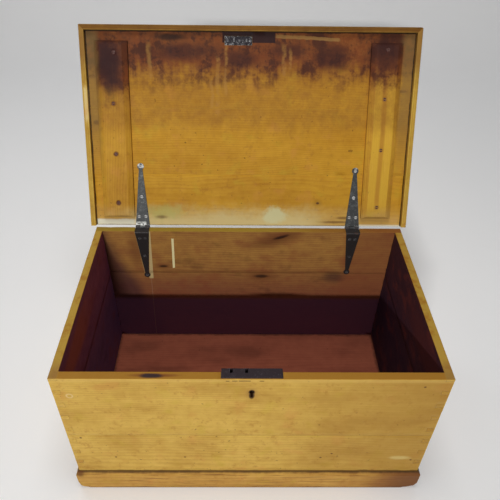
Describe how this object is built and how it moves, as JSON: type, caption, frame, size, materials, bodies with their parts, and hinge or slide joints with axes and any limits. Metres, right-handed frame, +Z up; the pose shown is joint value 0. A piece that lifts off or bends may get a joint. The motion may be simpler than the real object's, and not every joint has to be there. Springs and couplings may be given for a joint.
{
  "type": "blanket chest",
  "caption": "Dovetailed pine blanket chest with a plinth and an open battened lid with a lip, on two cranked strap hinges, with a box lock and link plate.",
  "frame": {"origin": "middle of the carcass, on the surface the chest stands on", "axes": "+X to the right seen from the front, +Y from the front to the back, +Z up"},
  "size_m": [0.947, 0.8143, 1.0015],
  "materials": {
    "carcass_pine": "waxed, satin, worn at the rim",
    "bottom_pine": "bare, dull and dirty",
    "plinth_pine": "waxed, satin, bruised along its foot",
    "lid_pine": "waxed, satin, stained along the front",
    "batten_pine": "waxed, satin",
    "lip_pine": "waxed, satin",
    "strap_iron": "old black iron, worn grey, with a little rust",
    "pin_iron": "worn",
    "nail_iron": "dull",
    "screw_iron": "dull, worn bright at the slot",
    "lock_iron": "black, worn grey at the edges",
    "lock_works": "oily",
    "link_iron": "worn silver grey"
  },
  "bodies": {
    "box": {"back_board_lower": "carcass_pine", "back_board_upper": "carcass_pine", "bottom_board_front": "bottom_pine", "bottom_board_middle": "bottom_pine", "bottom_board_rear": "bottom_pine", "bottom_nails": "nail_iron", "box_strap_left": "strap_iron", "box_strap_right": "strap_iron", "box_strap_screws": "screw_iron", "front_board_lower": "carcass_pine", "front_board_upper": "carcass_pine", "hinge_pin_left": "pin_iron", "hinge_pin_right": "pin_iron", "left_board_lower": "carcass_pine", "left_board_upper": "carcass_pine", "lock_bolt_guides": "lock_works", "lock_cap": "lock_iron", "lock_case": "lock_iron", "lock_key_pin": "lock_works", "lock_screws": "screw_iron", "lock_ward": "lock_works", "plinth_front": "plinth_pine", "plinth_left": "plinth_pine", "plinth_nails": "nail_iron", "plinth_right": "plinth_pine", "right_board_lower": "carcass_pine", "right_board_upper": "carcass_pine"},
    "lid": {"lid_batten_left": "batten_pine", "lid_batten_right": "batten_pine", "lid_batten_screws": "screw_iron", "lid_board_front": "lid_pine", "lid_board_middle": "lid_pine", "lid_board_rear": "lid_pine", "lid_lip_front": "lip_pine", "lid_lip_left": "lip_pine", "lid_lip_nails": "nail_iron", "lid_lip_right": "lip_pine", "lid_strap_left": "strap_iron", "lid_strap_right": "strap_iron", "lid_strap_screws": "screw_iron", "link_plate": "link_iron", "link_plate_screws": "screw_iron", "link_staples": "link_iron"},
    "lock_bolt": {"lock_bolt": "lock_works", "lock_back_spring": "lock_works"}
  },
  "joints": [
    {"name": "lid_hinge", "type": "hinge", "parent": "box", "child": "lid", "pos_m": [0, 0.28, 0.47715], "axis": [1, 0, 0], "range_deg": [0, 114]},
    {"name": "bolt_slide", "type": "slide", "parent": "box", "child": "lock_bolt", "axis": [-1, 0, 0], "range_m": [0, 0.008]}
  ]
}
